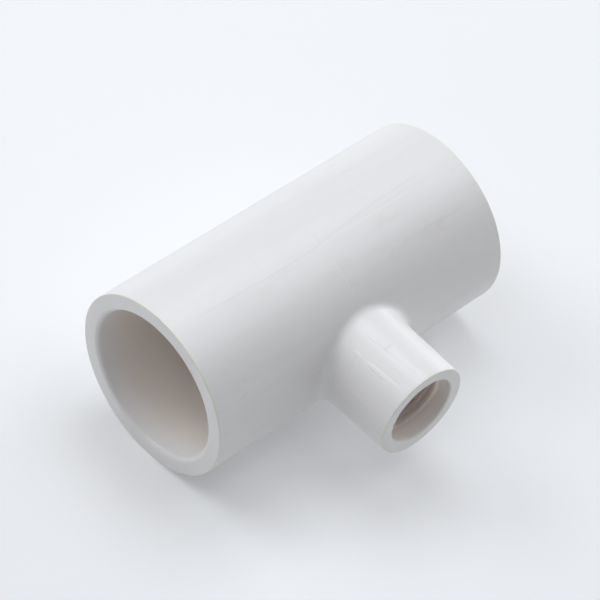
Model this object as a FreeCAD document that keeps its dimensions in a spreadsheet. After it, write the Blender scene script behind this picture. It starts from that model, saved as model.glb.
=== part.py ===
"""Reducing tee for glued PVC pressure pipe: a straight run with a plain socket at each end and a
small threaded branch on one side, modelled as the zones that the one moulding is made of.

Frame, in millimetres: the origin is where the two axes cross, +X runs along the straight run,
the branch points along -Y, and +Z is square to both.
"""
import FreeCAD, Part
import os
import Sketcher

SIZES = (
    # straight run
    ("run_diameter", "25.0", "outside of the run"),
    ("half_length", "23.8", "from the branch axis to either end"),
    ("socket_bore", "20.2", "takes a 20 mm pipe and its cement"),
    ("socket_depth", "15.0", "from either end to its pipe stop"),
    ("waterway_bore", "17.0", "passage between the two pipe stops"),
    ("stop_length", "1.0", "length of each pipe stop ring"),
    ("stop_ring_diameter", "21.0", "outside of each pipe stop ring, within the wall"),
    ("rim_round", "0.2", "outer edge of each end"),
    ("socket_lip_round", "0.6", "inner edge of each end"),
    # branch
    ("branch_reach", "23.0", "from the run axis to the branch mouth"),
    ("branch_mouth_diameter", "13.1", "outside of the branch at its mouth"),
    ("branch_root_diameter", "13.4", "outside of the branch where it leaves the run"),
    ("branch_root_reach", "12.5", "where the root diameter is measured"),
    ("branch_seam_reach", "15.6", "where the saddle ends and the boss begins"),
    ("root_fillet", "1.6", "blend between the branch and the run"),
    ("branch_rim_round", "0.2", "outer edge of the branch mouth"),
    ("branch_lip_round", "0.25", "inner edge of the branch mouth"),
    # branch hole and its thread: G 1/8, 28 turns to the inch, 55 degree flanks
    ("branch_bore", "9.728", "plain wall between the turns of the thread, its major diameter"),
    ("branch_bore_depth", "9.95", "from the mouth to the ledge where the port begins"),
    ("lead_in_depth", "1.3", "from the mouth to the first turn"),
    ("thread_minor", "8.84", "inside of the turns"),
    ("thread_pitch", "0.907", "from one turn to the next"),
    ("thread_length", "8.35", "stretch that the turns fill"),
    ("port_diameter", "8.0", "plain hole from the thread to the waterway"),
)
FLANK_ANGLE = "27.5 deg"
TRIM = 0.1  # how far the turns are drawn past their two diameters before they are trimmed back

doc = FreeCAD.newDocument("reducing_tee")
sheet = doc.addObject("Spreadsheet::Sheet", "Sizes")
for row, (alias, size, meaning) in enumerate(SIZES, start=1):
    sheet.set("A%d" % row, meaning)
    sheet.set("B%d" % row, size)
    sheet.setAlias("B%d" % row, alias)
doc.recompute()


def size(expression):
    """The value of an expression of sheet cells, as a plain number."""
    found = sheet.evalExpression(expression)
    return float(getattr(found, "Value", found))


def new_body(name):
    body = doc.addObject("PartDesign::Body", name)
    body.Label = name
    return body


def origin_feature(body, role):
    return next(f for f in body.Origin.OriginFeatures if f.Role == role)


def place_point(sketch, line, axis_kind, expression):
    """Bind one coordinate of the start of a line: to an axis if it is zero, else to its expression."""
    if expression == "0":
        on_axis = -2 if axis_kind == "DistanceX" else -1
        sketch.addConstraint(Sketcher.Constraint("PointOnObject", line, 1, on_axis))
        return
    constraint = Sketcher.Constraint(axis_kind, -1, 1, line, 1, size(expression))
    index = sketch.addConstraint(constraint)
    sketch.setExpression("Constraints[%d]" % index, expression)


def outline_sketch(body, name, corners):
    """A closed outline on the body's XY plane whose corners are pairs of expressions."""
    sketch = body.newObject("Sketcher::SketchObject", name)
    sketch.AttachmentSupport = [(origin_feature(body, "XY_Plane"), "")]
    sketch.MapMode = "FlatFace"
    points = [FreeCAD.Vector(size(across), size(up), 0) for across, up in corners]
    count = len(points)
    for i in range(count):
        sketch.addGeometry(Part.LineSegment(points[i], points[(i + 1) % count]), False)
    for i in range(count):
        sketch.addConstraint(Sketcher.Constraint("Coincident", i, 2, (i + 1) % count, 1))
    for i, (across, up) in enumerate(corners):
        place_point(sketch, i, "DistanceX", across)
        place_point(sketch, i, "DistanceY", up)
    return sketch


def turn(body, kind, name, corners, axis):
    """Turn an outline about the run axis (H_Axis) or the branch axis (V_Axis)."""
    sketch = outline_sketch(body, name + "_outline", corners)
    feature = body.newObject("PartDesign::" + kind, name)
    feature.Profile = sketch
    feature.ReferenceAxis = (sketch, [axis])
    feature.Angle = 360.0
    body.Tip = feature
    doc.recompute()
    return feature


def cut(body, name, corners, axis):
    """A Groove that must take material away."""
    before = body.Shape.Volume
    feature = turn(body, "Groove", name, corners, axis)
    if body.Shape.Volume > before - 1.0:
        raise RuntimeError(name + " cut nothing")
    return feature


def round_edges(body, name, radius, wanted):
    """Fillet the edges of the body's last feature that a test picks out."""
    base = body.Tip
    picked = ["Edge%d" % i for i, edge in enumerate(base.Shape.Edges, start=1) if wanted(edge)]
    if not picked:
        raise RuntimeError(name + " found no edge")
    feature = body.newObject("PartDesign::Fillet", name)
    feature.Base = (base, picked)
    feature.setExpression("Radius", radius)
    body.Tip = feature
    doc.recompute()
    return feature


def is_ring(edge, centre, radius):
    """Is this edge a circle of the given radius about the given point?"""
    near = 0.01
    if edge.Curve.TypeId != "Part::GeomCircle":
        return False
    return abs(edge.Curve.Radius - radius) < near and (edge.Curve.Center - centre).Length < near


def ring_corners(near, far, inner, outer):
    """A rectangle between two stations on the run axis and two radii."""
    return ((near, inner), (far, inner), (far, outer), (near, outer))


def boss_radius(reach):
    """Outer radius of the tapered branch at a distance from the run axis."""
    shrink = "(Sizes.branch_root_diameter - Sizes.branch_mouth_diameter) / 2"
    share = "(%s - Sizes.branch_root_reach) / (Sizes.branch_reach - Sizes.branch_root_reach)" % reach
    return "Sizes.branch_root_diameter / 2 - %s * %s" % (shrink, share)


def pipe_socket(name, side):
    """One end of the run: the wall that a pipe is glued into, with its two soft edges."""
    body = new_body(name)
    end = side + "Sizes.half_length"
    stop = side + "(Sizes.half_length - Sizes.socket_depth)"
    turn(body, "Revolution", name + "_wall",
         ring_corners(stop, end, "Sizes.socket_bore / 2", "Sizes.run_diameter / 2"), "H_Axis")
    mouth = FreeCAD.Vector(size(end), 0, 0)
    outer = size("Sizes.run_diameter / 2")
    round_edges(body, name + "_rim", "Sizes.rim_round", lambda e: is_ring(e, mouth, outer))
    inner = size("Sizes.socket_bore / 2")
    round_edges(body, name + "_lip", "Sizes.socket_lip_round", lambda e: is_ring(e, mouth, inner))
    return body


def pipe_stop(name, side):
    """The shoulder that the end of a glued pipe rests against."""
    body = new_body(name)
    face = side + "(Sizes.half_length - Sizes.socket_depth)"
    back = side + "(Sizes.half_length - Sizes.socket_depth - Sizes.stop_length)"
    turn(body, "Revolution", name + "_ring",
         ring_corners(back, face, "Sizes.waterway_bore / 2", "Sizes.stop_ring_diameter / 2"), "H_Axis")
    return body


def centre_body():
    """The middle of the run with the saddle that the branch grows out of."""
    body = new_body("centre_body")
    half = "(Sizes.half_length - Sizes.socket_depth)"
    outer = "Sizes.run_diameter / 2"
    turn(body, "Revolution", "barrel", ring_corners("-" + half, half, "0", outer), "H_Axis")

    seam = "Sizes.branch_seam_reach"
    buried = "Sizes.waterway_bore / 2"
    saddle = (("0", "-" + seam), (boss_radius(seam), "-" + seam),
              (boss_radius(buried), "-" + buried), ("0", "-" + buried))
    turn(body, "Revolution", "saddle", saddle, "V_Axis")

    run_radius = size(outer)
    root_radius = size("Sizes.branch_root_diameter / 2")

    def is_root(edge):
        """Every point of the root lies on the run's surface and close round the branch axis."""
        for p in edge.discretize(9):
            off_run = abs((p.y ** 2 + p.z ** 2) ** 0.5 - run_radius)
            off_branch = abs((p.x ** 2 + p.z ** 2) ** 0.5 - root_radius)
            if off_run > 0.01 or off_branch > 0.1:
                return False
        return True

    round_edges(body, "root_blend", "Sizes.root_fillet", is_root)

    stop_back = "(Sizes.half_length - Sizes.socket_depth - Sizes.stop_length)"
    waterway = ring_corners("-" + half, half, "0", "Sizes.waterway_bore / 2")
    cut(body, "waterway", waterway, "H_Axis")
    for side, name in (("-", "left_stop_seat"), ("", "right_stop_seat")):
        seat = ring_corners(side + stop_back, side + half, "0", "Sizes.stop_ring_diameter / 2")
        cut(body, name, seat, "H_Axis")
    ledge = "(Sizes.branch_reach - Sizes.branch_bore_depth)"
    bore = "Sizes.branch_bore / 2"
    port = "Sizes.port_diameter / 2"
    branch_hole = (("0", "-" + seam), (bore, "-" + seam), (bore, "-" + ledge),
                   (port, "-" + ledge), (port, "0"), ("0", "0"))
    cut(body, "branch_hole", branch_hole, "V_Axis")
    return body


def branch_boss():
    """The tapered wall of the branch, with its flat rim and the smooth start of its hole."""
    body = new_body("branch_boss")
    seam = "Sizes.branch_seam_reach"
    mouth = "Sizes.branch_reach"
    bore = "Sizes.branch_bore / 2"
    wall = ((bore, "-" + seam), (bore, "-" + mouth), (boss_radius(mouth), "-" + mouth),
            (boss_radius(seam), "-" + seam))
    turn(body, "Revolution", "boss_wall", wall, "V_Axis")
    centre = FreeCAD.Vector(0, -size(mouth), 0)
    outer = size(boss_radius(mouth))
    round_edges(body, "boss_rim", "Sizes.branch_rim_round", lambda e: is_ring(e, centre, outer))
    inner = size(bore)
    round_edges(body, "boss_lip", "Sizes.branch_lip_round", lambda e: is_ring(e, centre, inner))
    return body


def branch_thread():
    """The turns of the female thread: one right-handed ridge with 55 degree flanks in the bore.

    It starts on the left of the bore."""
    body = new_body("branch_thread")
    reach = "(Sizes.branch_reach - Sizes.lead_in_depth - Sizes.thread_pitch / 2)"
    root = "Sizes.branch_bore / 2"
    crest = "Sizes.thread_minor / 2"
    root_half = "5 * Sizes.thread_pitch / 12"
    over_root = "(%s + %s)" % (root, TRIM)
    over_crest = "(%s - %s)" % (crest, TRIM)
    wide = "(%s + %s * tan(%s))" % (root_half, TRIM, FLANK_ANGLE)
    narrow = "(%s - (%s - %s) * tan(%s))" % (root_half, root, over_crest, FLANK_ANGLE)
    near, far = "-" + over_crest, "-" + over_root
    ridge = ((near, "-(%s + %s)" % (reach, narrow)), (far, "-(%s + %s)" % (reach, wide)),
             (far, "-(%s - %s)" % (reach, wide)), (near, "-(%s - %s)" % (reach, narrow)))
    sketch = outline_sketch(body, "ridge_outline", ridge)
    helix = body.newObject("PartDesign::AdditiveHelix", "turns")
    helix.Profile = sketch
    helix.ReferenceAxis = (sketch, ["V_Axis"])
    helix.Mode = 0
    helix.setExpression("Pitch", "Sizes.thread_pitch")
    helix.setExpression("Height", "Sizes.thread_length - Sizes.thread_pitch")
    helix.LeftHanded = False
    helix.Reversed = False
    body.Tip = helix
    doc.recompute()

    # trimmed back to the bore and to the inside of the turns
    mouth = "Sizes.branch_reach"
    port = "Sizes.port_diameter / 2"
    outside = "Sizes.branch_mouth_diameter / 2"
    cut(body, "outer_trim", ((root, "-" + mouth), (outside, "-" + mouth), (outside, "0"), (root, "0")),
        "V_Axis")
    cut(body, "inner_trim", ((port, "-" + mouth), (crest, "-" + mouth), (crest, "0"), (port, "0")),
        "V_Axis")
    return body


nodes = [
    pipe_socket("left_pipe_socket", "-"),
    pipe_socket("right_pipe_socket", ""),
    pipe_stop("left_pipe_stop", "-"),
    pipe_stop("right_pipe_stop", ""),
    centre_body(),
    branch_boss(),
    branch_thread(),
]

doc.recompute()
for item in doc.Objects:
    if "Invalid" in item.State or "Error" in item.State:
        raise RuntimeError("%s is %s" % (item.Label, item.State))
for body in nodes:
    if body.Shape.isNull() or not body.Shape.isValid():
        raise RuntimeError(body.Label + " has no valid shape")
    print(body.Label, "solids", len(body.Shape.Solids), "volume", round(body.Shape.Volume, 2))

os.makedirs("parts", exist_ok=True)
for body in nodes:
    body.Shape.exportStep("parts/%s.step" % body.Label)
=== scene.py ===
"""A white PVC reducing tee on a pale studio sweep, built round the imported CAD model."""

import math

import bpy
from mathutils import Matrix, Vector


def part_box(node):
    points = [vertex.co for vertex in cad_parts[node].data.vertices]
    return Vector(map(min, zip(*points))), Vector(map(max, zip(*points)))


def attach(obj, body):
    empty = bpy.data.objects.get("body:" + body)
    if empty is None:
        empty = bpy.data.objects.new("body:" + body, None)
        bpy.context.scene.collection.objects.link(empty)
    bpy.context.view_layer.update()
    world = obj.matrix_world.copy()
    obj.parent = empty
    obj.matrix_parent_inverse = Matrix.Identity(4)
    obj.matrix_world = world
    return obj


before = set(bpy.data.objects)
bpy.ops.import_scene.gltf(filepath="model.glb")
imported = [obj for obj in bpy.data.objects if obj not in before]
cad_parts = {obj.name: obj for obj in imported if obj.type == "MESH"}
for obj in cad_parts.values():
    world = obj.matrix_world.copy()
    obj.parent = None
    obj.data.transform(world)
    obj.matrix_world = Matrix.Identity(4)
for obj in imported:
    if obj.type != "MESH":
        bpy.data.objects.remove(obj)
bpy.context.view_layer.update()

MM = 0.001

# the tee: what the CAD boxes give, then the radii that they do not
RUN_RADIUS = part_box("left_pipe_socket")[1].z
HALF_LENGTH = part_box("right_pipe_socket")[1].x
BRANCH_REACH = -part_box("branch_boss")[0].y
BRANCH_SEAM_REACH = -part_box("branch_boss")[1].y
BRANCH_SEAM_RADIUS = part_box("branch_boss")[1].x
BRANCH_MOUTH_RADIUS = 6.55 * MM
BRANCH_LIP_RADIUS = 5.0 * MM
SOCKET_RADIUS = 10.1 * MM
OUTER_ROUND = 0.2 * MM  # rounding of the outer edge of every end
HOLE_START = 8.0 * MM  # how far from the run's axis the branch's hole begins

# camera: angles, then distance and shifts in units of the run's outer radius
AZIMUTH = math.radians(-50.06)
ELEVATION = math.radians(49.1)
ROLL = math.radians(10.13)
DISTANCE = 33.03
SHIFT_RIGHT = -0.045
SHIFT_UP = 0.04
LENS_MM = 198.6
SENSOR_MM = 36.0

# colours, linear
PVC_LIGHT = (0.808, 0.792, 0.780)
PVC_DARK = (0.792, 0.777, 0.766)
PVC_DRAWN = (0.765, 0.750, 0.742)
# painted glow: warm, lighter colours for the insides of the holes, standing in for light that soaks through
# the wall
PAINTED_GLOW_INSIDE = (0.825, 0.765, 0.710)
PAINTED_GLOW_PORT = (0.930, 0.845, 0.785)
THIN_EDGE = (0.79, 0.785, 0.68)
STAIN = (0.50, 0.46, 0.29)
DAYLIGHT = (0.935, 0.96, 1.0)
FLOOR_GREY = (0.7, 0.7, 0.7)
DUSTY = 0.96  # how dark a line is in which dust has settled
PAINTED_HIGHLIGHT = 1.03  # and one painted lighter, as a painted highlight
PVC_IOR = 1.53

# how far the edges of the moulded lines are buried, and their undersides
SINK = 0.012 * MM
UNDERSIDE = 5 * SINK


def make_camera():
    back = Vector((math.sin(AZIMUTH) * math.cos(ELEVATION), -math.cos(AZIMUTH) * math.cos(ELEVATION),
                   math.sin(ELEVATION)))
    level = Vector((math.cos(AZIMUTH), math.sin(AZIMUTH), 0.0))
    up = back.cross(level)
    right = level * math.cos(ROLL) + up * math.sin(ROLL)
    up = back.cross(right)
    data = bpy.data.cameras.new("camera")
    data.lens = LENS_MM
    data.sensor_width = SENSOR_MM
    data.clip_start = 0.01
    data.clip_end = 20.0
    camera = bpy.data.objects.new("camera", data)
    camera.matrix_world = Matrix((right, up, back)).transposed().to_4x4()
    camera.location = (back * DISTANCE - right * SHIFT_RIGHT - up * SHIFT_UP) * RUN_RADIUS
    bpy.context.scene.collection.objects.link(camera)
    bpy.context.scene.camera = camera


# ---------------------------------------------------------------- surfaces

def on_run(x, degrees):
    """Point and outward normal on the run: x along it, angle from the top towards the branch."""
    angle = math.radians(degrees)
    normal = Vector((0.0, -math.sin(angle), math.cos(angle)))
    return Vector((x, 0.0, 0.0)) + normal * RUN_RADIUS, normal


def on_branch(reach, degrees):
    """Point and outward normal on the tapered branch: angle from its top towards the right."""
    angle = math.radians(degrees)
    normal = Vector((math.sin(angle), 0.0, math.cos(angle)))
    share = (reach - BRANCH_SEAM_REACH) / (BRANCH_REACH - BRANCH_SEAM_REACH)
    radius = BRANCH_SEAM_RADIUS + (BRANCH_MOUTH_RADIUS - BRANCH_SEAM_RADIUS) * share
    return Vector((0.0, -reach, 0.0)) + normal * radius, normal


# ---------------------------------------------------------------- material

class Graph:
    """Short names for the shader nodes that the materials are made of."""

    def __init__(self, name):
        self.material = bpy.data.materials.new(name)
        self.material.use_nodes = True
        self.tree = self.material.node_tree
        self.shader = self.tree.nodes["Principled BSDF"]
        self.place = self.tree.nodes.new("ShaderNodeTexCoord").outputs["Object"]

    def feed(self, socket, value):
        if isinstance(value, bpy.types.NodeSocket):
            self.tree.links.new(value, socket)
        else:
            socket.default_value = value

    def maths(self, operation, first, second=0.0):
        node = self.tree.nodes.new("ShaderNodeMath")
        node.operation = operation
        self.feed(node.inputs[0], first)
        self.feed(node.inputs[1], second)
        return node.outputs[0]

    def ramp(self, value, low, high, out_low=0.0, out_high=1.0):
        """A value taken smoothly from out_low at low to out_high at high."""
        node = self.tree.nodes.new("ShaderNodeMapRange")
        node.interpolation_type = "SMOOTHSTEP"
        for socket, number in zip(node.inputs, (value, low, high, out_low, out_high)):
            self.feed(socket, number)
        return node.outputs[0]

    def mix(self, share, first, second):
        node = self.tree.nodes.new("ShaderNodeMix")
        node.data_type = "RGBA"
        self.feed(node.inputs["Factor"], share)
        for socket, colour in (("A", first), ("B", second)):
            chosen = [s for s in node.inputs if s.name == socket and s.type == "RGBA"][0]
            self.feed(chosen, colour if isinstance(colour, bpy.types.NodeSocket) else (*colour, 1.0))
        return [s for s in node.outputs if s.type == "RGBA"][0]

    def noise(self, stretch, scale, detail=3.0):
        mapping = self.tree.nodes.new("ShaderNodeMapping")
        mapping.inputs["Scale"].default_value = stretch
        self.feed(mapping.inputs["Vector"], self.place)
        node = self.tree.nodes.new("ShaderNodeTexNoise")
        node.inputs["Scale"].default_value = scale
        node.inputs["Detail"].default_value = detail
        self.feed(node.inputs["Vector"], mapping.outputs[0])
        return node.outputs["Fac"]

    def near(self, point, reach, squeeze):
        """1 at a point of the surface, fading to 0 at a distance that squeeze stretches per axis."""
        scaled = self.tree.nodes.new("ShaderNodeVectorMath")
        scaled.operation = "MULTIPLY"
        self.feed(scaled.inputs[0], self.place)
        scaled.inputs[1].default_value = squeeze
        node = self.tree.nodes.new("ShaderNodeVectorMath")
        node.operation = "DISTANCE"
        self.feed(node.inputs[0], scaled.outputs["Vector"])
        node.inputs[1].default_value = [a * b for a, b in zip(point, squeeze)]
        return self.ramp(node.outputs["Value"], 0.0, reach, 1.0, 0.0)

    def off_axis(self, keep):
        """Distance from an axis of the frame: keep is 1 for each direction that counts."""
        node = self.tree.nodes.new("ShaderNodeVectorMath")
        node.operation = "MULTIPLY"
        self.feed(node.inputs[0], self.place)
        node.inputs[1].default_value = keep
        length = self.tree.nodes.new("ShaderNodeVectorMath")
        length.operation = "LENGTH"
        self.feed(length.inputs[0], node.outputs["Vector"])
        return length.outputs["Value"]


# stains: how far along in mm, angle from the top in degrees, radius in mm, strength
RUN_STAINS = (
    (9, 18.5, 1.5, 0.12),
    (10.5, 19, 1.3, 0.10),
    (8, 37, 1.2, 0.09),
    (7.5, 32, 1.2, 0.08),
    (10.5, 35.5, 1.4, 0.10),
    (14, 35.5, 1.7, 0.14),
    (16, 36.5, 1.7, 0.17),
    (18.5, 37, 1.4, 0.12),
    (1, 28, 1.1, 0.09),
    (-7, 14, 0.9, 0.13),
    (-10.5, 17.5, 1.3, 0.07),
    (-14, 14.5, 1.6, 0.07),
    (-19, 39.5, 1.0, 0.09),
    (-12.5, 57, 1.6, 0.07),
)
BRANCH_STAINS = ((16.5, -6.5, 0.55, 0.20),)


class Plastic(Graph):
    """White PVC, laid out by where on the tee a point is."""

    def __init__(self, name):
        super().__init__(name)
        split = self.tree.nodes.new("ShaderNodeSeparateXYZ")
        self.feed(split.inputs[0], self.place)
        self.along_run = self.maths("ABSOLUTE", split.outputs["X"])
        self.along_branch = self.maths("MULTIPLY", split.outputs["Y"], -1.0)
        self.off_run = self.off_axis((0.0, 1.0, 1.0))
        self.off_branch = self.off_axis((1.0, 0.0, 1.0))
        self.cloudy = self.noise((1.0, 1.0, 1.0), 70.0)
        self.drawn = self.drag_lines()

    def drag_lines(self):
        """The fine lines that the mould left as it opened: along the run, and along the branch."""
        on_boss = self.ramp(self.along_branch, RUN_RADIUS, RUN_RADIUS + 1.5 * MM)
        on_rest = self.maths("SUBTRACT", 1.0, on_boss)
        run = self.maths("MULTIPLY", self.noise((0.07, 1.0, 1.0), 620.0, 4.0), on_rest)
        boss = self.maths("MULTIPLY", self.noise((1.0, 0.07, 1.0), 1500.0, 4.0), on_boss)
        return self.maths("ADD", run, boss)

    def clean(self, shade):
        """Broad clouds, with the drag lines over them."""
        light, dark, streak = ([part * shade for part in tone] for tone in (PVC_LIGHT, PVC_DARK, PVC_DRAWN))
        colour = self.mix(self.ramp(self.cloudy, 0.35, 0.65), light, dark)
        return self.mix(self.ramp(self.drawn, 0.45, 0.72, 0.0, 0.40), colour, streak)

    def flecked(self, colour):
        """Flecks of dirt in loose patches."""
        fleck = self.ramp(self.noise((0.4, 1.0, 1.0), 1400.0, 3.0), 0.60, 0.72)
        patch = self.ramp(self.noise((0.5, 1.0, 1.0), 150.0, 2.0), 0.50, 0.66)
        return self.mix(self.maths("MULTIPLY", self.maths("MULTIPLY", fleck, patch), 0.12), colour, STAIN)

    def spots(self, places, on_surface, squeeze):
        found = 0.0
        for along, angle, radius, strength in places:
            spot = self.near(on_surface(along * MM, angle)[0], radius * MM, squeeze)
            found = self.maths("MAXIMUM", self.maths("MULTIPLY", spot, strength), found)
        return found

    def stained(self, colour):
        """The stains of the two tables, with ragged edges."""
        on_the_run = self.spots(RUN_STAINS, on_run, (0.55, 1.0, 1.0))
        on_the_branch = self.spots(BRANCH_STAINS, on_branch, (0.4, 1.2, 1.0))
        broken = self.ramp(self.noise((0.45, 1.0, 1.0), 1300.0, 4.0), 0.42, 0.60, 0.12, 1.0)
        share = self.maths("MULTIPLY", self.maths("MAXIMUM", on_the_run, on_the_branch), broken)
        return self.mix(share, colour, STAIN)

    def paint_through_glow(self, colour):
        """Painted glow: light that soaks through the wall warms the holes, so the run's bores are painted
        warm and the branch's hole warm and brighter.
        """
        past_lip = self.ramp(self.along_run, HALF_LENGTH - 5.0 * MM, HALF_LENGTH - 0.6 * MM, 1.0, 0.0)
        in_run = self.ramp(self.off_run, SOCKET_RADIUS + 0.1 * MM, SOCKET_RADIUS + 0.4 * MM, 1.0, 0.0)
        in_run = self.maths("MULTIPLY", in_run, past_lip)
        past_lip = self.ramp(self.along_branch, BRANCH_REACH - 1.6 * MM, BRANCH_REACH - 0.2 * MM, 1.0, 0.0)
        in_branch = self.ramp(self.off_branch, BRANCH_LIP_RADIUS - 0.1 * MM, BRANCH_LIP_RADIUS + 0.1 * MM,
                              1.0, 0.0)
        past_run = self.maths("GREATER_THAN", self.along_branch, HOLE_START)
        in_branch = self.maths("MULTIPLY", self.maths("MULTIPLY", in_branch, past_run), past_lip)
        return self.mix(in_branch, self.mix(in_run, colour, PAINTED_GLOW_INSIDE), PAINTED_GLOW_PORT)

    def thin_edged(self, colour):
        """The thin edges of the ends look faintly yellow."""
        run_end = self.ramp(self.along_run, HALF_LENGTH - 0.45 * MM, HALF_LENGTH - 0.15 * MM)
        run_edge = self.ramp(self.off_run, RUN_RADIUS - 0.35 * MM, RUN_RADIUS - 0.05 * MM)
        branch_end = self.ramp(self.along_branch, BRANCH_REACH - 0.4 * MM, BRANCH_REACH - 0.1 * MM)
        branch_edge = self.ramp(self.off_branch, BRANCH_MOUTH_RADIUS - 0.35 * MM,
                                BRANCH_MOUTH_RADIUS - 0.05 * MM)
        branch_lip = self.ramp(self.off_branch, BRANCH_LIP_RADIUS, BRANCH_LIP_RADIUS + 0.25 * MM, 1.0, 0.0)
        run_thin = self.maths("MULTIPLY", run_end, run_edge)
        branch_thin = self.maths("MULTIPLY", branch_end, self.maths("MAXIMUM", branch_edge, branch_lip))
        share = self.maths("MULTIPLY", self.maths("MAXIMUM", run_thin, branch_thin), 0.7)
        return self.mix(share, colour, THIN_EDGE)

    def finish(self, colour):
        """Colour, a gloss that the clouds and drag lines dull a little, and their shallow relief."""
        self.feed(self.shader.inputs["Base Color"], colour)
        dull = self.ramp(self.drawn, 0.45, 0.75, 0.0, 0.05)
        gloss = self.maths("ADD", self.ramp(self.cloudy, 0.3, 0.7, 0.31, 0.37), dull)
        self.feed(self.shader.inputs["Roughness"], gloss)
        self.shader.inputs["IOR"].default_value = PVC_IOR
        grain = self.noise((1.0, 1.0, 1.0), 5200.0, 2.0)
        bump = self.tree.nodes.new("ShaderNodeBump")
        bump.inputs["Strength"].default_value = 0.25
        bump.inputs["Distance"].default_value = 0.012 * MM
        lines = self.maths("MULTIPLY", self.drawn, 0.7)
        relief = self.maths("ADD", lines, self.maths("MULTIPLY", grain, 0.3))
        self.feed(bump.inputs["Height"], relief)
        self.feed(self.shader.inputs["Normal"], bump.outputs[0])


def make_pvc(name, shade=1.0):
    """White PVC, darker or lighter than usual by a factor; the lighter one is a painted highlight."""
    plastic = Plastic(name)
    colour = plastic.stained(plastic.flecked(plastic.clean(shade)))
    # the insides of the holes get a painted glow of light through the wall
    plastic.finish(plastic.thin_edged(plastic.paint_through_glow(colour)))
    return plastic.material


# ---------------------------------------------------------------- moulded lines

def curve_through(points, count):
    """Points (along, angle) eased through a few given ones with a Catmull-Rom spline."""
    ends = [points[0]] + list(points) + [points[-1]]
    found = []
    spans = len(points) - 1
    for i in range(count + 1):
        where = spans * i / count
        k = min(int(where), spans - 1)
        t = where - k
        a, b, c, d = ends[k:k + 4]
        found.append([0.5 * (2 * q + (r - p) * t + (2 * p - 5 * q + 4 * r - s) * t * t
                             + (3 * q - p - 3 * r + s) * t ** 3)
                      for p, q, r, s in zip(a, b, c, d)])
    return found


def moulded_line(name, stations, width, height, material, bend=math.inf, fade=0.08, ring=False):
    """A low rounded ridge along stations of (point, outward normal).

    bend is the radius that the surface has across the line. An open line sinks away at both ends,
    over the share of its length that fade gives.
    """
    across = (-1.0, -0.6, -0.2, 0.2, 0.6, 1.0)  # points of the rounded top, in half widths
    count = len(stations)
    verts, faces = [], []
    for i, (point, normal) in enumerate(stations):
        before = stations[i - 1 if ring or i else 0][0]
        after = stations[(i + 1) % count if ring or i < count - 1 else i][0]
        side = normal.cross(after - before).normalized()
        share = i / (count - 1)
        rise = 1.0 if ring else min(1.0, share / fade, (1.0 - share) / fade)
        floor = (2.0 - rise) * SINK
        for s in across:
            out = s * width / 2
            lift = (height * rise + floor) * (1.0 - s * s) - floor - out * out / (2 * bend)
            verts.append(point + side * out + normal * (lift - (1.0 - rise) * 2 * SINK))
        for s in (1.0, -1.0):
            out = s * width / 2
            verts.append(point + side * out - normal * (UNDERSIDE + out * out / (2 * bend)))
    size = len(across) + 2
    for i in range(count if ring else count - 1):
        j = (i + 1) % count
        for k in range(size):
            n = (k + 1) % size
            faces.append((i * size + k, i * size + n, j * size + n, j * size + k))
    if not ring:
        faces.append(tuple(range(size - 1, -1, -1)))
        faces.append(tuple((count - 1) * size + k for k in range(size)))
    mesh = bpy.data.meshes.new(name)
    mesh.from_pydata(verts, [], faces)
    mesh.update()
    mesh.polygons.foreach_set("use_smooth", [True] * len(mesh.polygons))
    mesh.materials.append(material)
    line = bpy.data.objects.new(name, mesh)
    bpy.context.scene.collection.objects.link(line)
    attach(line, "root")


def edge_stations(centre, axis, radius, count=180):
    """Stations round a rim, facing outwards and along the axis in equal parts."""
    first = axis.orthogonal().normalized()
    second = axis.cross(first)
    found = []
    for i in range(count):
        angle = 2 * math.pi * i / count
        radial = first * math.cos(angle) + second * math.sin(angle)
        found.append((centre + radial * radius, (radial + axis).normalized()))
    return found


# moulded lines: (distance along in mm, angle from the top in degrees)
PARTING = ((-23.3, 10), (-12.5, 11.5), (-5, 12.3), (-1, 11.5), (4, 9.3), (10, 7.2), (23.3, 6))
RIGHT_FLOW = ((0, 12), (8, 12.5), (20, 12))
WITNESS_TOP = ((0, -4), (0, 22))
WITNESS_LOW = ((-0.2, 20), (0, 54))
SIDE_WITNESS = ((-2.6, 42), (-2, 54))
BRANCH_PARTING = ((13, -14), (16.5, -10.8), (22.7, -6.5))
BRANCH_SHORT = ((17.6, -3.3), (22.4, 1))
BRANCH_CREST = ((12.6, -35), (17.5, -34), (22.7, -32))
FLASH_WIDTH = 0.15 * MM
FLASH_HEIGHT = 0.03 * MM


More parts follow.
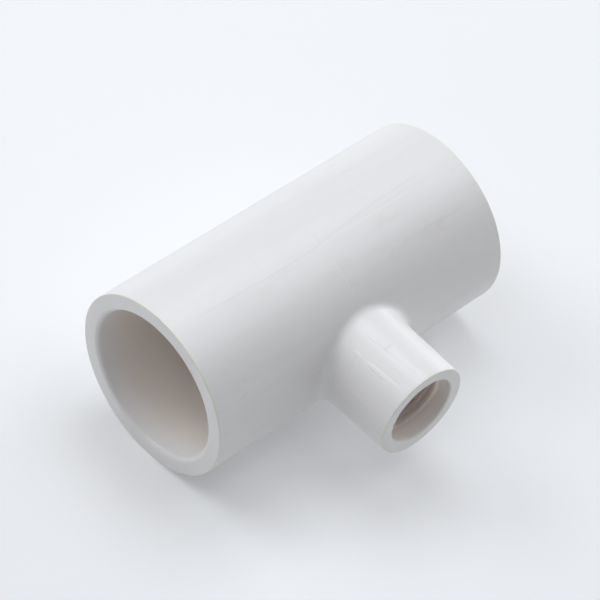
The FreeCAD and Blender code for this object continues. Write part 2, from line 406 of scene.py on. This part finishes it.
def make_lines(plain, dusty, highlight_pvc):
    """All moulded lines, with widths and heights in mm, then the flash round the three rims."""

    def run_line(name, points, width, height, material, bend=RUN_RADIUS, **rest):
        stations = [on_run(x * MM, angle) for x, angle in curve_through(points, 120)]
        moulded_line(name, stations, width * MM, height * MM, material, bend=bend, **rest)

    def branch_line(name, points, width, height, material, **rest):
        stations = [on_branch(reach * MM, angle) for reach, angle in curve_through(points, 60)]
        moulded_line(name, stations, width * MM, height * MM, material, bend=BRANCH_MOUTH_RADIUS, **rest)

    run_line("top_parting_line", PARTING, 0.28, 0.004, dusty)
    underneath = [(x, 180.0 - angle) for x, angle in PARTING]
    run_line("bottom_parting_line", underneath, 0.28, 0.004, dusty)
    # painted highlight: the flow, centre witness and crest lines are drawn in the lighter PVC
    run_line("right_flow_line", RIGHT_FLOW, 0.42, 0.003, highlight_pvc, fade=0.3)
    run_line("top_witness_line", WITNESS_TOP, 0.30, 0.002, dusty, bend=math.inf, fade=0.45)
    run_line("centre_witness_line", WITNESS_LOW, 0.36, 0.006, highlight_pvc, bend=math.inf, fade=0.2)
    run_line("side_witness_line", SIDE_WITNESS, 0.30, 0.002, dusty, bend=math.inf, fade=0.45)
    branch_line("branch_parting_line", BRANCH_PARTING, 0.26, 0.003, dusty, fade=0.15)
    branch_line("branch_short_line", BRANCH_SHORT, 0.24, 0.002, dusty, fade=0.4)
    branch_line("branch_crest_line", BRANCH_CREST, 0.70, 0.0035, highlight_pvc, fade=0.2)

    def rim_flash(name, end, axis, radius):
        """A bead of flash on the rounded outer edge of an end, halfway round the rounding."""
        middle = OUTER_ROUND * (1.0 - math.cos(math.pi / 4))
        axis = Vector(axis)
        stations = edge_stations(axis * (end - middle), axis, radius - middle)
        moulded_line(name, stations, FLASH_WIDTH, FLASH_HEIGHT, plain, bend=OUTER_ROUND, ring=True)

    rim_flash("left_rim_flash", HALF_LENGTH, (-1.0, 0.0, 0.0), RUN_RADIUS)
    rim_flash("right_rim_flash", HALF_LENGTH, (1.0, 0.0, 0.0), RUN_RADIUS)
    rim_flash("branch_rim_flash", BRANCH_REACH, (0.0, -1.0, 0.0), BRANCH_MOUTH_RADIUS)


# ---------------------------------------------------------------- studio

# the sweep: radius and height above the floor, in metres
SWEEP = ((0.02, 0.0), (0.1, 0.0), (0.5, 0.0), (1.2, 0.0), (2.0, 0.0), (2.3, 0.01), (2.6, 0.05), (2.8, 0.12),
         (2.92, 0.22), (3.0, 0.38))
SWEEP_SIDES = 96
FLOOR_GLOW = 0.2  # within NEAR of the tee, where the soft lights reach
WALL_GLOW = 0.52  # beyond FAR, where they do not
NEAR = 0.3
FAR = 0.9

LIGHT_AWAY = 0.6
LIGHT_SIZE = 0.36
# azimuth from +X towards +Y and elevation in degrees, watts
SOFT_LIGHTS = (
    ("low_right", 0, 12, 1.6),
    ("right", 338, 38, 0.2),
    ("back", 112, 38, 1.15),
    ("high_back", 134, 52, 0.45),
    ("top_back", 60, 65, 1.15),
    ("top_right", 0, 65, 0.45),
    ("top_front", 300, 65, 0.5),
    ("top_left", 190, 65, 0.55),
)


def make_floor():
    """A pale round floor that curves up into a low wall, so that no horizon shows."""
    verts = [(0.0, 0.0, 0.0)]
    for radius, height in SWEEP:
        for i in range(SWEEP_SIDES):
            angle = 2 * math.pi * i / SWEEP_SIDES
            verts.append((radius * math.cos(angle), radius * math.sin(angle), height))
    faces = []
    for i in range(SWEEP_SIDES):
        j = (i + 1) % SWEEP_SIDES
        faces.append((0, 1 + i, 1 + j))
        for row in range(1, len(SWEEP)):
            inner, outer = 1 + (row - 1) * SWEEP_SIDES, 1 + row * SWEEP_SIDES
            faces.append((inner + i, outer + i, outer + j, inner + j))
    mesh = bpy.data.meshes.new("floor")
    mesh.from_pydata(verts, [], faces)
    mesh.update()
    mesh.polygons.foreach_set("use_smooth", [True] * len(mesh.polygons))
    floor = bpy.data.objects.new("floor", mesh)
    floor.location.z = -RUN_RADIUS
    bpy.context.scene.collection.objects.link(floor)
    g = Graph("floor")
    g.shader.inputs["Base Color"].default_value = (*FLOOR_GREY, 1.0)
    g.shader.inputs["Roughness"].default_value = 0.9
    g.shader.inputs["Emission Color"].default_value = (*DAYLIGHT, 1.0)
    glow = g.ramp(g.off_axis((1.0, 1.0, 0.0)), NEAR, FAR, FLOOR_GLOW, WALL_GLOW)
    g.feed(g.shader.inputs["Emission Strength"], glow)
    mesh.materials.append(g.material)


def soft_light(name, azimuth, elevation, watts):
    """A round soft box aimed at the tee."""
    turn, rise = math.radians(azimuth), math.radians(elevation)
    data = bpy.data.lights.new(name, "AREA")
    data.shape = "DISK"
    data.size = LIGHT_SIZE
    data.energy = watts
    data.color = DAYLIGHT
    light = bpy.data.objects.new(name, data)
    light.visible_camera = False
    level = math.cos(rise)
    light.location = Vector((math.cos(turn) * level, math.sin(turn) * level, math.sin(rise))) * LIGHT_AWAY
    light.rotation_euler = (-light.location).to_track_quat("-Z", "Y").to_euler()
    bpy.context.scene.collection.objects.link(light)


def make_studio():
    """The sweep and the soft lights, in a world that gives no light of its own."""
    make_floor()
    for name, azimuth, elevation, watts in SOFT_LIGHTS:
        soft_light(name, azimuth, elevation, watts)
    world = bpy.data.worlds.new("world")
    world.use_nodes = True
    world.node_tree.nodes["Background"].inputs["Strength"].default_value = 0.0
    bpy.context.scene.world = world
    bpy.context.scene.view_settings.view_transform = "Standard"


make_camera()
pvc = make_pvc("white_pvc")
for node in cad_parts.values():
    node.data.materials.clear()
    node.data.materials.append(pvc)
# the lighter PVC paints a highlight onto the lines drawn with it
make_lines(pvc, make_pvc("white_pvc_dusty", DUSTY), make_pvc("white_pvc_painted_highlight", PAINTED_HIGHLIGHT))
make_studio()
